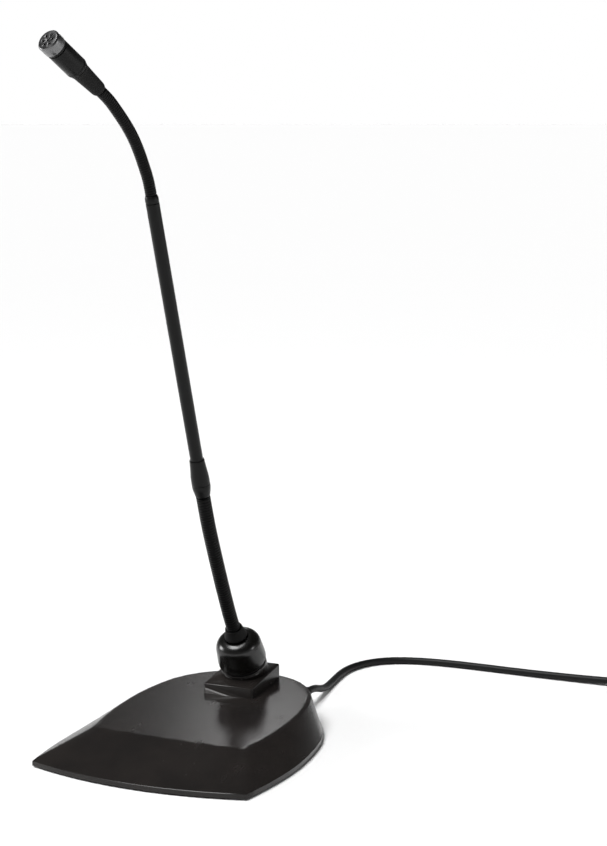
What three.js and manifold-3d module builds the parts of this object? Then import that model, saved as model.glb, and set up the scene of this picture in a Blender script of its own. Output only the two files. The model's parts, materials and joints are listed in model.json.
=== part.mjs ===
// Gooseneck podium microphone on a weighted desk base, with an attached lead.
// Millimetres, +Z up. The talker sits towards -Y, the lead leaves towards +Y.
// The origin is on the face that rests on the desk, at the middle of the base.
import * as THREE from "three";
import { mergeVertices } from "three/addons/utils/BufferGeometryUtils.js";
import Module from "manifold-3d";

const wasm = await Module();
wasm.setup();

// ---- Driving dimensions -------------------------------------------------------------------

const GAP = 0.3; // clearance between pieces that touch
const ROUND = 24; // sides of a turned piece

// Base
const FRONT_HALF_WIDTH = 74.3; // at the two front corners
const MAX_HALF_WIDTH = 79.3; // at the widest place of the sides
const FRONT_Y = -87; // of the front corners
const FRONT_BOW = 12; // how far the front edge bows out between them
const REAR_Y = 99;
const CREASE_Y = -48; // where the sloping front meets the top
const CREASE_HALF_WIDTH = 53.5;
const TOP_HALF_WIDTH = 59.5;
const TOP_REAR_Y = 89;
const CREASE_HEIGHT = 17;
const TOP_SLOPE = 0.05; // rise of the top towards the rear
const LIP_HEIGHT = 4.5; // upright rim round the base
const HOUSING_BOTTOM = 1;
const WALL = 2.5;
const LIP_WALL = 3;
const PAD_THICKNESS = 1.6;
const PLATE_THICKNESS = 2;
const POST_RADIUS = 4;
const SCREW_RADIUS = 1.5;
const SCREW_HEAD_RADIUS = 2.8;
const SCREW_HEAD_HEIGHT = 1.2;
const PLATE_SCREW_LENGTH = 9;
const POST_PLACES = [
  [-50, -60],
  [50, -60],
  [-44, 48],
  [44, 48],
];

// Weight and board inside the base
const WEIGHT = { width: 92, depth: 54, height: 8, y: -13 };
const BOARD = { width: 52, depth: 22, thickness: 1.6, y: 33, z: 9 };
const STANDOFF_RADIUS = 2.6;
const STANDOFF_SPACING = 40;

// Square plinth and the tilted socket on it
const PLINTH_HALF_WIDTH = 18;
const PLINTH_FRONT_Y = 36.5;
const PLINTH_REAR_Y = 80;
const PLINTH_FRONT_HEIGHT = 28;
const PLINTH_SLOPE = 0.149;
const SOCKET_Y = 63.5;
const SOCKET_TILT = THREE.MathUtils.degToRad(27);
const BOSS_RADIUS = 15.6;
const BOSS_TOP = 7; // along the socket's axis, from the plinth's top
const SOCKET_RADIUS = 10;
const SOCKET_WALL = 2.8;
const SOCKET_DEPTH = 10;
const SOCKET_FLANGE_RADIUS = 13.2;
const SOCKET_FLANGE = 1.5;
const SOCKET_NECK_TOP = 22;
const COLLAR_RADIUS = 16.2;
const COLLAR_TOP = 29.5;
const SLEEVE_WALL = 1.7;

// Gooseneck
const STEM_START = 30; // along the socket's axis
const LOWER_FLEX = { radius: 4.65, length: 113.5, pivots: [0.25, 0.75] };
const LOWER_LEAN = THREE.MathUtils.degToRad(30);
const UPPER_LEAN = THREE.MathUtils.degToRad(18.25);
const FERRULE_LENGTH = 26;
const FERRULE_RADIUS = 5.9;
const FERRULE_SEAT = 10;
const TUBE_LENGTH = 172;
const TUBE_RADIUS = 4.15;
const TUBE_WALL = 1.2;
const ADAPTER_LENGTH = 5;
const UPPER_FLEX = { radius: 3.5, length: 78, pivots: [1 / 6, 1 / 2, 5 / 6] };
const FLEX_BEND = THREE.MathUtils.degToRad(45); // most that two segments turn
const HEAD_HEADING = THREE.MathUtils.degToRad(12);
const HEAD_RISE = THREE.MathUtils.degToRad(33);

// Head
const BOOT_LENGTH = 22;
const BARREL_LENGTH = 19;
const BARREL_RADIUS = 6.6;
const BARREL_WALL = 0.8;
const TRIM_RING_LENGTH = 1.6;
const CAP_LENGTH = 6.5;
const CAP_PROUD = 0.3; // how far the cap stands out from the barrel
const CAPSULE = { length: 5, gasketWall: 0.35 };

// Lead
const CABLE_RADIUS = 2.5;
const GLAND = { x: 29, z: 10.5, underTop: 13, proud: 2, radius: 4.4, tip: 3.3 };
const COIL = { x: 262, y: 200, inner: 17.5, outer: 37.5, bottom: 1.6, height: 20 };
const TIE = { width: 5, thickness: 1.1 };
const PLUG = { radius: 9.4, wall: 1.2, shell: 42, boot: 21, insert: 6 };
const PLUG_PIN = { radius: 1.2, length: 22, circle: 3.9, recess: 8 };

// ---- Solids -------------------------------------------------------------------------------

function solid(geometry) {
  const plain = (geometry.index ? geometry.toNonIndexed() : geometry.clone())
    .deleteAttribute("normal")
    .deleteAttribute("uv");
  const merged = mergeVertices(plain, 1e-4);
  return new wasm.Manifold(
    new wasm.Mesh({
      numProp: 3,
      vertProperties: merged.attributes.position.array,
      triVerts: new Uint32Array(merged.index.array),
    }),
  );
}

function geometryOf(manifold) {
  const mesh = manifold.getMesh();
  const geometry = new THREE.BufferGeometry();
  geometry.setAttribute("position", new THREE.BufferAttribute(mesh.vertProperties, 3));
  geometry.setIndex(new THREE.BufferAttribute(mesh.triVerts, 1));
  geometry.computeVertexNormals();
  return geometry;
}

function cut(geometry, ...tools) {
  let body = solid(geometry);
  for (const tool of tools) body = body.subtract(solid(tool));
  return geometryOf(body);
}

function join(...geometries) {
  let body = solid(geometries[0]);
  for (const other of geometries.slice(1)) body = body.add(solid(other));
  return geometryOf(body);
}

// A turned solid about Z. The profile is a list of [radius, height], from bottom to top
// along the outside, and back down the inside where there is a bore.
function turned(profile, sides = ROUND) {
  const points = profile.map(([radius, height]) => new THREE.Vector2(radius, height));
  if (profile[0][0] > 0) points.push(points[0].clone());
  return new THREE.LatheGeometry(points, sides).rotateX(Math.PI / 2);
}

function rod(radius, bottom, top, sides = ROUND) {
  return turned([[0, bottom], [radius, bottom], [radius, top], [0, top]], sides);
}

function sleeve(outer, inner, bottom, top, sides = ROUND) {
  return turned([[outer, bottom], [outer, top], [inner, top], [inner, bottom]], sides);
}

function block(width, depth, height, x, y, bottom) {
  return new THREE.BoxGeometry(width, depth, height).translate(x, y, bottom + height / 2);
}

// A solid through rings of points, each ring anticlockwise from above, lowest ring first.
function lofted(rings) {
  const count = rings[0].length;
  const positions = rings.flat().flatMap((point) => [point.x, point.y, point.z]);
  const faces = [];
  for (let level = 0; level + 1 < rings.length; level += 1) {
    for (let i = 0; i < count; i += 1) {
      const next = (i + 1) % count;
      const low = level * count;
      const high = low + count;
      faces.push(low + i, low + next, high + next, low + i, high + next, high + i);
    }
  }
  const flat = (ring) => ring.map((point) => new THREE.Vector2(point.x, point.y));
  for (const [a, b, c] of THREE.ShapeUtils.triangulateShape(flat(rings[0]), [])) {
    faces.push(a, c, b);
  }
  const top = (rings.length - 1) * count;
  for (const [a, b, c] of THREE.ShapeUtils.triangulateShape(flat(rings.at(-1)), [])) {
    faces.push(top + a, top + b, top + c);
  }
  const geometry = new THREE.BufferGeometry();
  geometry.setAttribute("position", new THREE.Float32BufferAttribute(positions, 3));
  geometry.setIndex(faces);
  return geometry;
}

// ---- Outlines of the base -----------------------------------------------------------------

const FRONT_STEPS = 12;
const SIDE_STEPS = 18;

// Front edge from left to right, right side to the rear, and the left side back again.
function outline(halfWidth, frontY, bow, side) {
  const points = [];
  for (let i = 0; i < FRONT_STEPS; i += 1) {
    const t = (2 * i) / FRONT_STEPS - 1;
    points.push(new THREE.Vector2(halfWidth * t, frontY - bow * (1 - t * t)));
  }
  const right = new THREE.SplineCurve(side.map(([x, y]) => new THREE.Vector2(x, y)));
  const rightPoints = right.getPoints(SIDE_STEPS);
  points.push(...rightPoints);
  const left = rightPoints.slice(1, -1).reverse();
  points.push(...left.map((point) => new THREE.Vector2(-point.x, point.y)));
  return points;
}

function inset(points, distance) {
  const count = points.length;
  return points.map((point, i) => {
    const before = point.clone().sub(points[(i + count - 1) % count]).normalize();
    const after = points[(i + 1) % count].clone().sub(point).normalize();
    const inward = new THREE.Vector2(-before.y - after.y, before.x + after.x).normalize();
    const spread = Math.max(0.35, inward.x * -after.y + inward.y * after.x);
    return point.clone().addScaledVector(inward, distance / spread);
  });
}

const depth = REAR_Y - FRONT_Y;
const floorOutline = outline(FRONT_HALF_WIDTH, FRONT_Y, FRONT_BOW, [
  [FRONT_HALF_WIDTH, FRONT_Y],
  [MAX_HALF_WIDTH - 0.8, FRONT_Y + 0.17 * depth],
  [MAX_HALF_WIDTH, FRONT_Y + 0.36 * depth],
  [0.927 * MAX_HALF_WIDTH, FRONT_Y + 0.586 * depth],
  [0.782 * MAX_HALF_WIDTH, FRONT_Y + 0.747 * depth],
  [0.53 * MAX_HALF_WIDTH, FRONT_Y + 0.898 * depth],
  [0.252 * MAX_HALF_WIDTH, FRONT_Y + 0.978 * depth],
  [0, REAR_Y],
]);
const topDepth = TOP_REAR_Y - CREASE_Y;
const topOutline = outline(CREASE_HALF_WIDTH, CREASE_Y, 1.5, [
  [CREASE_HALF_WIDTH, CREASE_Y],
  [0.966 * TOP_HALF_WIDTH, CREASE_Y + 0.17 * topDepth],
  [TOP_HALF_WIDTH, CREASE_Y + 0.36 * topDepth],
  [0.974 * TOP_HALF_WIDTH, CREASE_Y + 0.57 * topDepth],
  [0.84 * TOP_HALF_WIDTH, CREASE_Y + 0.788 * topDepth],
  [0.571 * TOP_HALF_WIDTH, CREASE_Y + 0.927 * topDepth],
  [0.27 * TOP_HALF_WIDTH, CREASE_Y + 0.988 * topDepth],
  [0, TOP_REAR_Y],
]);

const topHeight = (y) => CREASE_HEIGHT + (y - CREASE_Y) * TOP_SLOPE;
const level = (points, z) => points.map((point) => new THREE.Vector3(point.x, point.y, z));
const onTop = (points, drop) =>
  points.map((point) => new THREE.Vector3(point.x, point.y, topHeight(point.y) - drop));

const glandInner = TOP_REAR_Y - GLAND.underTop;
const glandLength = REAR_Y + GLAND.proud - glandInner;
const padTop = PAD_THICKNESS;
const plateBottom = padTop + GAP;
const plateTop = plateBottom + PLATE_THICKNESS;

// ---- Places of the gooseneck --------------------------------------------------------------

const plinthTop = (y) => PLINTH_FRONT_HEIGHT + (y - PLINTH_FRONT_Y) * PLINTH_SLOPE;
const socketPlace = new THREE.Vector3(0, SOCKET_Y, plinthTop(SOCKET_Y));
const socketAxis = new THREE.Vector3(0, -Math.sin(SOCKET_TILT), Math.cos(SOCKET_TILT));
const leaning = (lean) => new THREE.Vector3(0, -Math.sin(lean), Math.cos(lean));

// A circular bend from one direction to another, with the stated length.
function bend(start, from, to, length) {
  const angle = from.angleTo(to);
  const radius = length / angle;
  const side = to.clone().addScaledVector(from, -Math.cos(angle)).normalize();
  return (share) => {
    const turn = angle * share;
    return {
      point: start
        .clone()
        .addScaledVector(from, radius * Math.sin(turn))
        .addScaledVector(side, radius * (1 - Math.cos(turn))),
      direction: from
        .clone()
        .multiplyScalar(Math.cos(turn))
        .addScaledVector(side, Math.sin(turn)),
    };
  };
}

const stemStart = socketPlace.clone().addScaledVector(socketAxis, STEM_START);
const stemDirection = leaning(UPPER_LEAN);
const lowerBend = bend(stemStart, leaning(LOWER_LEAN), stemDirection, LOWER_FLEX.length);
const ferrulePlace = lowerBend(1).point;
const tubePlace = ferrulePlace.clone().addScaledVector(stemDirection, FERRULE_LENGTH);
const adapterPlace = tubePlace.clone().addScaledVector(stemDirection, TUBE_LENGTH);
const upperStart = adapterPlace.clone().addScaledVector(stemDirection, ADAPTER_LENGTH);
const headDirection = new THREE.Vector3(
  -Math.sin(HEAD_HEADING) * Math.cos(HEAD_RISE),
  -Math.cos(HEAD_HEADING) * Math.cos(HEAD_RISE),
  Math.sin(HEAD_RISE),
);
const upperBend = bend(upperStart, stemDirection, headDirection, UPPER_FLEX.length);
const headPlace = upperBend(1).point;

// ---- The scene graph ----------------------------------------------------------------------

const part = new THREE.Group();

const FINISH = {
  satin_black: { color: 0x2c2928, roughness: 0.42, metalness: 0 },
  black_metal: { color: 0x151514, roughness: 0.35, metalness: 0.4 },
  black_flex: { color: 0x121212, roughness: 0.45, metalness: 0.5 },
  rubber: { color: 0x1a1a1a, roughness: 0.85, metalness: 0 },
  steel: { color: 0x9a9a98, roughness: 0.35, metalness: 1 },
  grille: { color: 0x8a8a8c, roughness: 0.4, metalness: 0.9 },
  foam: { color: 0x202020, roughness: 1, metalness: 0 },
  board: { color: 0x1f4a32, roughness: 0.5, metalness: 0 },
  brass: { color: 0xb9974f, roughness: 0.3, metalness: 1 },
  cable: { color: 0x1c1c1c, roughness: 0.6, metalness: 0 },
};

function add(name, geometry, finish, parent = part) {
  const mesh = new THREE.Mesh(geometry, new THREE.MeshStandardMaterial(FINISH[finish]));
  mesh.name = name;
  parent.add(mesh);
  return mesh;
}

// A frame whose Z runs along the direction.
function frameAt(place, direction) {
  const frame = new THREE.Group();
  frame.position.copy(place);
  frame.quaternion.setFromUnitVectors(new THREE.Vector3(0, 0, 1), direction);
  part.add(frame);
  return frame;
}

// ---- Base ---------------------------------------------------------------------------------

const PILOT_RADIUS = SCREW_RADIUS + GAP;
const HEAD_HOLE_RADIUS = SCREW_HEAD_RADIUS + GAP;

function makeHousing() {
  const shoulder = (points, share) =>
    points.map((point, i) => point.clone().lerp(floorOutline[i], share));
  const outer = lofted([
    level(floorOutline, HOUSING_BOTTOM),
    level(floorOutline, LIP_HEIGHT - 0.6),
    level(inset(floorOutline, 0.6), LIP_HEIGHT),
    onTop(shoulder(topOutline, 0.08), 1.3),
    onTop(topOutline, 0.25),
    onTop(inset(topOutline, 2.5), 0),
  ]);
  const hollow = lofted([
    level(inset(floorOutline, LIP_WALL), HOUSING_BOTTOM - 1),
    level(inset(floorOutline, LIP_WALL), plateTop + GAP / 2),
    onTop(inset(topOutline, WALL), WALL),
  ]);
  const plinthLength = PLINTH_REAR_Y - PLINTH_FRONT_Y;
  const plinth = lofted([
    level(rectangle(PLINTH_HALF_WIDTH, PLINTH_FRONT_Y, PLINTH_REAR_Y), CREASE_HEIGHT),
    slopedTop(rectangle(PLINTH_HALF_WIDTH, PLINTH_FRONT_Y, PLINTH_REAR_Y), 0.8),
    slopedTop(rectangle(PLINTH_HALF_WIDTH - 0.8, PLINTH_FRONT_Y + 0.8, PLINTH_REAR_Y - 0.8), 0),
  ]);
  const plinthHollow = lofted([
    level(
      rectangle(PLINTH_HALF_WIDTH - WALL, PLINTH_FRONT_Y + WALL, PLINTH_REAR_Y - WALL),
      CREASE_HEIGHT - WALL - 2,
    ),
    slopedTop(
      rectangle(PLINTH_HALF_WIDTH - WALL, PLINTH_FRONT_Y + WALL, PLINTH_REAR_Y - WALL),
      WALL,
    ),
  ]);
  const inSocketFrame = (geometry) =>
    geometry.applyQuaternion(
      new THREE.Quaternion().setFromUnitVectors(new THREE.Vector3(0, 0, 1), socketAxis),
    ).translate(socketPlace.x, socketPlace.y, socketPlace.z);
  const boss = inSocketFrame(
    turned([
      [0, -plinthLength / 8],
      [BOSS_RADIUS, -plinthLength / 8],
      [BOSS_RADIUS, BOSS_TOP - 0.6],
      [BOSS_RADIUS - 0.6, BOSS_TOP],
      [0, BOSS_TOP],
    ]),
  );
  const bore = inSocketFrame(rod(SOCKET_RADIUS + GAP, -SOCKET_DEPTH - 4, BOSS_TOP + 4));
  const cableHole = rod(GLAND.radius + GAP, 0, 60)
    .rotateX(-Math.PI / 2)
    .translate(GLAND.x, glandInner - 12, GLAND.z);
  let body = solid(outer).add(solid(plinth));
  body = body.subtract(solid(hollow)).subtract(solid(plinthHollow));
  const bossShell = solid(boss).subtract(solid(plinthHollow)).subtract(solid(hollow));
  body = body.add(bossShell);
  const postBottom = plateTop + GAP;
  const pilotTop = plateBottom + PLATE_SCREW_LENGTH - 2 + GAP;
  for (const [x, y] of POST_PLACES) {
    const slopeShare = Math.max(0, (CREASE_Y - y) / (CREASE_Y - FRONT_Y));
    const top = topHeight(y) - slopeShare * (CREASE_HEIGHT - LIP_HEIGHT) - WALL / 2;
    body = body.add(solid(rod(POST_RADIUS, postBottom, top, 12).translate(x, y, 0)));
    body = body.subtract(
      solid(rod(PILOT_RADIUS, postBottom - 1, pilotTop, 12).translate(x, y, 0)),
    );
  }
  body = body.subtract(solid(bore)).subtract(solid(cableHole));
  return geometryOf(body);
}

function rectangle(halfWidth, front, rear) {
  return [
    new THREE.Vector2(-halfWidth, front),
    new THREE.Vector2(halfWidth, front),
    new THREE.Vector2(halfWidth, rear),
    new THREE.Vector2(-halfWidth, rear),
  ];
}

function slopedTop(points, drop) {
  return points.map((point) => new THREE.Vector3(point.x, point.y, plinthTop(point.y) - drop));
}

add("base_housing", makeHousing(), "satin_black");

const plateOutline = inset(floorOutline, LIP_WALL + 0.4);
const screwHoles = (radius, bottom, top) =>
  POST_PLACES.map(([x, y]) => rod(radius, bottom, top, 12).translate(x, y, 0));
add(
  "base_plate",
  cut(
    lofted([level(plateOutline, plateBottom), level(plateOutline, plateTop)]),
    ...screwHoles(PILOT_RADIUS, plateBottom - 1, plateTop + 1),
    ...screwHoles(HEAD_HOLE_RADIUS, plateBottom - 1, plateBottom + SCREW_HEAD_HEIGHT + GAP),
  ),
  "steel",
);
const padOutline = inset(floorOutline, LIP_WALL + 2);
add(
  "desk_pad",
  cut(
    lofted([level(padOutline, 0), level(padOutline, padTop)]),
    ...screwHoles(HEAD_HOLE_RADIUS + 0.4, -1, padTop + 1),
  ),
  "rubber",
);

// A pan screw pointing up: head at the bottom, with a straight slot across it.
function screw(length, headRadius = SCREW_HEAD_RADIUS, shank = SCREW_RADIUS) {
  const body = join(
    rod(headRadius, 0, SCREW_HEAD_HEIGHT, 12),
    rod(shank, SCREW_HEAD_HEIGHT / 2, length, 12),
  );
  return cut(body, new THREE.BoxGeometry(headRadius * 3, 0.6, 0.8));
}

POST_PLACES.forEach(([x, y], i) => {
  add(
    `plate_screw_${i + 1}`,
    screw(PLATE_SCREW_LENGTH - 2).translate(x, y, plateBottom),
    "steel",
  );
});

const weightBottom = plateTop + GAP;
add(
  "ballast_block",
  block(WEIGHT.width, WEIGHT.depth, WEIGHT.height, 0, WEIGHT.y, weightBottom),
  "steel",
);

const standoffTop = BOARD.z - GAP;
const boardScrewTop = BOARD.z + BOARD.thickness + GAP + SCREW_HEAD_HEIGHT;
[-1, 1].forEach((side, i) => {
  const x = (side * STANDOFF_SPACING) / 2;
  add(
    `board_standoff_${i + 1}`,
    cut(
      rod(STANDOFF_RADIUS, plateTop + GAP, standoffTop, 12),
      rod(1.2, plateTop + 1.5, standoffTop + 1, 12),
    ).translate(x, BOARD.y, 0),
    "brass",
  );
  add(
    `board_screw_${i + 1}`,
    screw(5, 2.2, 0.9).rotateX(Math.PI).translate(x, BOARD.y, boardScrewTop),
    "steel",
  );
});
const boardHoles = [-1, 1].map((side) =>
  rod(1.2, BOARD.z - 1, BOARD.z + BOARD.thickness + 1, 12)
    .translate((side * STANDOFF_SPACING) / 2, BOARD.y, 0));
add(
  "circuit_board",
  cut(block(BOARD.width, BOARD.depth, BOARD.thickness, 0, BOARD.y, BOARD.z), ...boardHoles),
  "board",
);
const boardTop = BOARD.z + BOARD.thickness + GAP;
add("terminal_block", block(12, 7, 6, 12, BOARD.y + 5, boardTop), "satin_black");
add("filter_can", rod(3, boardTop, boardTop + 6, 16).translate(-8, BOARD.y - 3, 0), "steel");

// ---- Socket and turning collar ------------------------------------------------------------

const socketFrame = frameAt(socketPlace, socketAxis);
const flangeBottom = BOSS_TOP + GAP;
const flangeTop = flangeBottom + SOCKET_FLANGE;
const socketBore = SOCKET_RADIUS - SOCKET_WALL;
const neckRadius = SOCKET_RADIUS + 1;
const collarBottom = flangeTop + GAP;
add(
  "socket_shell",
  turned([
    [SOCKET_RADIUS, -SOCKET_DEPTH],
    [SOCKET_RADIUS, flangeBottom],
    [SOCKET_FLANGE_RADIUS, flangeBottom],
    [SOCKET_FLANGE_RADIUS, flangeTop],
    [neckRadius, flangeTop],
    [neckRadius, SOCKET_NECK_TOP],
    [socketBore, SOCKET_NECK_TOP],
    [socketBore, -SOCKET_DEPTH],
  ]),
  "steel",
  socketFrame,
);
add(
  "collar_seal",
  sleeve(BOSS_RADIUS - 0.7, SOCKET_FLANGE_RADIUS + GAP, flangeBottom, flangeTop - 0.1),
  "rubber",
  socketFrame,
);
const collarMouth = socketBore + 0.5;
add(
  "lock_collar",
  turned([
    [COLLAR_RADIUS - 0.6, collarBottom],
    [COLLAR_RADIUS, collarBottom + 0.6],
    [COLLAR_RADIUS, collarBottom + 4],
    [COLLAR_RADIUS - 1, COLLAR_TOP - 6],
    [COLLAR_RADIUS - 2, COLLAR_TOP - 3.4],
    [COLLAR_RADIUS - 4.2, COLLAR_TOP - 1.2],
    [COLLAR_RADIUS - 7, COLLAR_TOP],
    [collarMouth, COLLAR_TOP],
    [collarMouth, SOCKET_NECK_TOP + GAP],
    [neckRadius + GAP, SOCKET_NECK_TOP + GAP],
    [neckRadius + GAP, collarBottom],
  ], 32),
  "satin_black",
  socketFrame,
);
const sleeveOuter = socketBore - GAP;
const sleeveInner = sleeveOuter - SLEEVE_WALL;
add(
  "isolation_sleeve",
  sleeve(sleeveOuter, sleeveInner, -SOCKET_DEPTH + 2, SOCKET_NECK_TOP - 1),
  "rubber",
  socketFrame,
);
const FOOT_BORE = 2.2;
const footBottom = -SOCKET_DEPTH - 1;
add(
  "stem_foot",
  sleeve(sleeveInner - GAP, FOOT_BORE, footBottom, STEM_START - 0.6),
  "black_metal",
  socketFrame,
);

// ---- Gooseneck segments -------------------------------------------------------------------

// Each segment has a ball at its lower end that sits in the cup of the one below.
function flexSegment(length, radius, ballBelow, cupAbove) {
  const ball = radius * 0.73;
  const neck = radius * 0.44;
  const cup = ball + GAP;
  const rim = radius * Math.sin(FLEX_BEND) - neck * Math.cos(FLEX_BEND) + 0.4;
  const profile = [];
  if (ballBelow) {
    const reach = Math.acos(-neck / ball);
    for (let i = 0; i <= 5; i += 1) {
      const angle = (reach * i) / 5;
      profile.push([ball * Math.sin(angle), -ball * Math.cos(angle)]);
    }
    profile.push([radius, neck]);
  } else {
    profile.push([0, 0], [radius, 0]);
  }
  if (cupAbove) {
    const reach = Math.acos(rim / cup);
    profile.push([radius, length - rim]);
    for (let i = 4; i >= 0; i -= 1) {
      const angle = (reach * i) / 4;
      profile.push([cup * Math.sin(angle), length - cup * Math.cos(angle)]);
    }
  } else {
    profile.push([radius, length], [0, length]);
  }
  return turned(profile, 20);
}

function addFlex(name, flex, along) {
  const stations = [0, ...flex.pivots, 1];
  stations.slice(0, -1).forEach((from, i) => {
    const to = stations[i + 1];
    const low = along(from).point;
    const high = along(to).point;
    const chord = high.clone().sub(low);
    const first = i === 0;
    const last = i === stations.length - 2;
    const length = chord.length() - (last ? 0.5 : 0) - (first ? 0.5 : 0);
    const frame = frameAt(low, chord.normalize());
    const segment = flexSegment(length, flex.radius, !first, !last);
    add(`${name}_${i + 1}`, segment.translate(0, 0, first ? 0.5 : 0), "black_flex", frame);
  });
}

addFlex("lower_flex", LOWER_FLEX, lowerBend);

const neckFrame = frameAt(stemStart, lowerBend(0.03).direction);
const coneBore = LOWER_FLEX.radius + 0.5;
add(
  "neck_cone",
  turned([
    [collarMouth + 0.1, 0.8],
    [collarMouth - 0.3, 2.4],
    [coneBore + 1, 6],
    [coneBore + 0.7, 8],
    [coneBore, 8],
    [coneBore, 0.8],
  ]),
  "rubber",
  neckFrame,
);

const ferruleFrame = frameAt(ferrulePlace, stemDirection);
add(
  "lower_ferrule",
  turned([
    [FOOT_BORE, 0],
    [LOWER_FLEX.radius, 0],
    [FERRULE_RADIUS - 0.6, 3],
    [FERRULE_RADIUS, 6],
    [FERRULE_RADIUS, 14],
    [FERRULE_RADIUS - 0.7, 20],
    [TUBE_RADIUS + 0.6, FERRULE_LENGTH],
    [TUBE_RADIUS + GAP, FERRULE_LENGTH],
    [TUBE_RADIUS + GAP, FERRULE_LENGTH - FERRULE_SEAT],
    [FOOT_BORE, FERRULE_LENGTH - FERRULE_SEAT],
  ]),
  "black_metal",
  ferruleFrame,
);

const tubeBore = TUBE_RADIUS - TUBE_WALL;
const tubeBottom = -FERRULE_SEAT + GAP;
const tubeFrame = frameAt(tubePlace, stemDirection);
add("mid_tube", sleeve(TUBE_RADIUS, tubeBore, tubeBottom, TUBE_LENGTH), "black_metal", tubeFrame);
const SPIGOT_LENGTH = 8;
add(
  "inner_lead",
  rod(tubeBore - GAP, tubeBottom + 1, TUBE_LENGTH - SPIGOT_LENGTH - GAP, 12),
  "cable",
  tubeFrame,
);
const adapterFrame = frameAt(adapterPlace, stemDirection);
add(
  "upper_adapter",
  turned([
    [1.6, -SPIGOT_LENGTH],
    [tubeBore - GAP, -SPIGOT_LENGTH],
    [tubeBore - GAP, GAP],
    [TUBE_RADIUS, GAP],
    [TUBE_RADIUS, 3],
    [UPPER_FLEX.radius, ADAPTER_LENGTH],
    [1.6, ADAPTER_LENGTH],
  ]),
  "black_metal",
  adapterFrame,
);

addFlex("upper_flex", UPPER_FLEX, upperBend);

// ---- Head ---------------------------------------------------------------------------------

const headFrame = frameAt(headPlace, headDirection);
const barrelBottom = BOOT_LENGTH;
const barrelTop = barrelBottom + BARREL_LENGTH;
const barrelBore = BARREL_RADIUS - BARREL_WALL;
const BARREL_SEAT = 5;
add(
  "head_boot",
  turned([
    [1.6, 0.4],
    [UPPER_FLEX.radius + 0.6, 0.4],
    [UPPER_FLEX.radius + 1, 2],
    [BARREL_RADIUS - 1.6, BOOT_LENGTH * 0.55],
    [BARREL_RADIUS - 1.2, BOOT_LENGTH - 3],
    [BARREL_RADIUS - 0.4, BOOT_LENGTH - GAP],
    [barrelBore - GAP, BOOT_LENGTH - GAP],
    [barrelBore - GAP, BOOT_LENGTH + BARREL_SEAT],
    [1.6, BOOT_LENGTH + BARREL_SEAT],
  ]),
  "rubber",
  headFrame,
);
add(
  "head_barrel",
  turned([
    [BARREL_RADIUS - 0.3, barrelBottom],
    [BARREL_RADIUS, barrelBottom + 0.6],
    [BARREL_RADIUS, barrelTop],
    [barrelBore, barrelTop],
    [barrelBore, barrelBottom],
  ]),
  "black_metal",
  headFrame,
);
const ringTop = barrelTop + GAP + TRIM_RING_LENGTH;
add(
  "trim_ring",
  sleeve(BARREL_RADIUS - 0.3, barrelBore, barrelTop + GAP, ringTop),
  "steel",
  headFrame,
);

const capBottom = ringTop + GAP;
const capTop = capBottom + CAP_LENGTH;
const capRadius = BARREL_RADIUS + CAP_PROUD;
const capBore = capRadius - 0.9;
const CAP_FACE = 1;
const SLOT_COUNT = 5;
function makeCap() {
  const shell = turned([
    [capRadius, capBottom],
    [capRadius, capTop - 0.8],
    [capRadius - 0.8, capTop],
    [0, capTop],
    [0, capTop - CAP_FACE],
    [capBore, capTop - CAP_FACE],
    [capBore, capBottom],
  ]);
  const holes = [rod(0.8, capTop - 3, capTop + 1, 8)];
  for (let i = 0; i < SLOT_COUNT + 1; i += 1) {
    const angle = (2 * Math.PI * i) / (SLOT_COUNT + 1);
    holes.push(
      rod(0.8, capTop - 3, capTop + 1, 8)
        .translate(3.1 * Math.cos(angle), 3.1 * Math.sin(angle), 0),
    );
  }
  return cut(shell, ...holes);
}
add("grille_cap", makeCap(), "grille", headFrame);
const meshTop = capTop - CAP_FACE - GAP;
add("grille_mesh", rod(capBore - GAP, meshTop - 0.4, meshTop, 20), "grille", headFrame);
const foamTop = meshTop - 0.4 - GAP;
add("foam_disc", rod(capBore - GAP, foamTop - 2.2, foamTop, 20), "foam", headFrame);
const capsuleTop = foamTop - 2.2 - GAP;
const capsuleBottom = capsuleTop - CAPSULE.length;
const gasketOuter = barrelBore - GAP;
const gasketInner = gasketOuter - CAPSULE.gasketWall;
add("capsule", rod(gasketInner - GAP, capsuleBottom, capsuleTop, 20), "steel", headFrame);
add(
  "capsule_gasket",
  sleeve(gasketOuter, gasketInner, capsuleBottom + 0.4, capsuleTop - 0.6),
  "rubber",
  headFrame,
);
add(
  "capsule_board",
  rod(barrelBore - GAP - 0.2, capsuleBottom - GAP - 1, capsuleBottom - GAP, 20),
  "board",
  headFrame,
);

// ---- Lead, its strain relief, coil and connector ------------------------------------------

const cableBore = CABLE_RADIUS + GAP;
add(
  "cable_gland",
  turned([
    [cableBore, 0],
    [GLAND.radius + 1.4, 0],
    [GLAND.radius + 1.4, 2],
    [GLAND.radius, 2],
    [GLAND.radius, 12],
    [GLAND.tip, glandLength],
    [cableBore, glandLength],
  ])
    .rotateX(-Math.PI / 2)
    .translate(GLAND.x, glandInner, GLAND.z),
  "rubber",
);

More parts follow.
